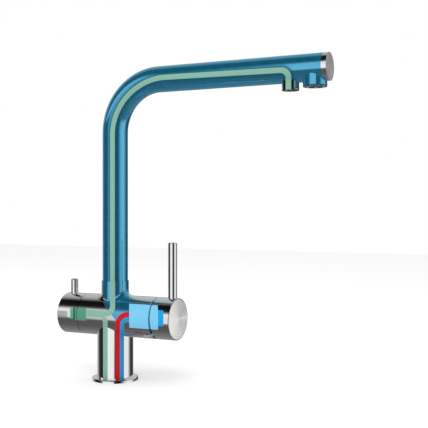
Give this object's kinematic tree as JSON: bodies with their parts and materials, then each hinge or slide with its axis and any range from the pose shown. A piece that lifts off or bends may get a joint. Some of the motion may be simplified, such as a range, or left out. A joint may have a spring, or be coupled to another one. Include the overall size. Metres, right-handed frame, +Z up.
{
  "type": "three way kitchen tap",
  "caption": "Deck-mounted kitchen tap with an L-shaped swivel spout, a side lever for mixed water and a small lever for filtered water that runs in its own inner tube.",
  "frame": {"origin": "centre of the column's foot on the worktop, in the middle of the tap's hole", "axes": "+Z up out of the worktop, +X along the barrel towards the mixer lever and along the spout at rest; the user stands at -Y"},
  "size_m": [0.3091, 0.0506, 0.3433],
  "materials": {
    "body_chrome": "polished chrome plate",
    "base_chrome": "polished chrome plate",
    "mixer_knob_chrome": "polished chrome plate",
    "filter_knob_chrome": "polished chrome plate",
    "rod_chrome": "polished chrome plate",
    "end_chrome": "polished chrome plate",
    "nozzle_chrome": "polished chrome plate",
    "tinted_blue": "blue tinted polished metal",
    "outlet_blue": "blue tinted polished metal",
    "brushed_face": "fine radial brushing",
    "filter_green": "smooth green tube",
    "valve_green": "satin green",
    "stub_green": "satin pale green",
    "dark_clip": "dark green",
    "hot_red": "smooth red tube",
    "cold_blue": "smooth blue tube",
    "cartridge_blue": "satin light blue",
    "stem_blue": "satin mid blue",
    "brass": "machined brass",
    "rubber": "black rubber",
    "ceramic": "lapped white ceramic",
    "white_plastic": "white acetal",
    "steel": "stainless steel"
  },
  "bodies": {
    "body": {"tap_body": "body_chrome", "base_ring": "base_chrome", "base_gasket": "rubber", "inlet_block": "brass", "hot_tube": "hot_red", "cold_tube": "cold_blue", "filter_inlet_tube": "filter_green", "filter_link_tube": "filter_green", "mixed_tube": "cartridge_blue", "cartridge_seat": "cartridge_blue", "port_seals": "rubber", "cartridge_base": "cartridge_blue", "cartridge_housing": "cartridge_blue", "fixed_ceramic_disc": "ceramic", "cartridge_nut": "cartridge_blue", "neck_plug": "brass", "slip_washer": "white_plastic", "spout_screw": "steel", "valve_block": "valve_green", "valve_body": "valve_green", "filter_fixed_disc": "ceramic"},
    "spout": {"spout_tube": "tinted_blue", "spout_adapter": "brass", "spout_orings": "rubber", "glide_ring": "white_plastic", "spout_filter_tube": "filter_green", "coupling_oring": "rubber", "filter_nozzle": "nozzle_chrome", "flow_straightener": "white_plastic", "outlet_housing": "outlet_blue", "aerator_insert": "white_plastic", "aerator_screen": "steel", "aerator_gasket": "rubber", "spout_end_cap": "end_chrome", "spout_end_disc": "brushed_face"},
    "mixer_carrier": {"cartridge_carrier": "cartridge_blue", "stem_pin": "steel"},
    "mixer_disc": {"moving_ceramic_disc": "ceramic", "disc_coupler": "white_plastic"},
    "mixer_lever": {"mixer_stem": "stem_blue", "mixer_knob": "mixer_knob_chrome", "mixer_rod": "rod_chrome", "mixer_grub_screw": "steel", "mixer_index_plug": "rod_chrome", "mixer_end_disc": "brushed_face"},
    "filter_lever": {"filter_spindle": "stub_green", "spindle_oring": "rubber", "spindle_clip": "dark_clip", "filter_moving_disc": "ceramic", "filter_knob": "filter_knob_chrome", "filter_rod": "rod_chrome", "filter_grub_screw": "steel", "filter_index_plug": "rod_chrome", "filter_end_disc": "brushed_face"}
  },
  "joints": [
    {"name": "spout_swivel", "type": "hinge", "parent": "body", "child": "spout", "pos_m": [0, 0, 0.1092], "axis": [0, 0, 1], "range_deg": [-250, 70]},
    {"name": "mixer_temperature", "type": "hinge", "parent": "body", "child": "mixer_carrier", "pos_m": [0.0426, 0, 0.0709], "axis": [1, 0, 0], "range_deg": [0, 90]},
    {"name": "mixer_flow", "type": "hinge", "parent": "mixer_carrier", "child": "mixer_lever", "pos_m": [0.0426, 0, 0.0709], "axis": [0, 1, 0], "range_deg": [0, 20]},
    {"name": "mixer_disc_slide", "type": "slide", "parent": "mixer_carrier", "child": "mixer_disc", "axis": [0, 0, 1], "range_m": [0, 0.0033]},
    {"name": "filter_turn", "type": "hinge", "parent": "body", "child": "filter_lever", "pos_m": [-0.04, 0, 0.0709], "axis": [1, 0, 0], "range_deg": [0, 90]}
  ],
  "couplings": [
    {"joint": "mixer_disc_slide", "follows": "mixer_flow", "m_per_rad": 0.009}
  ]
}
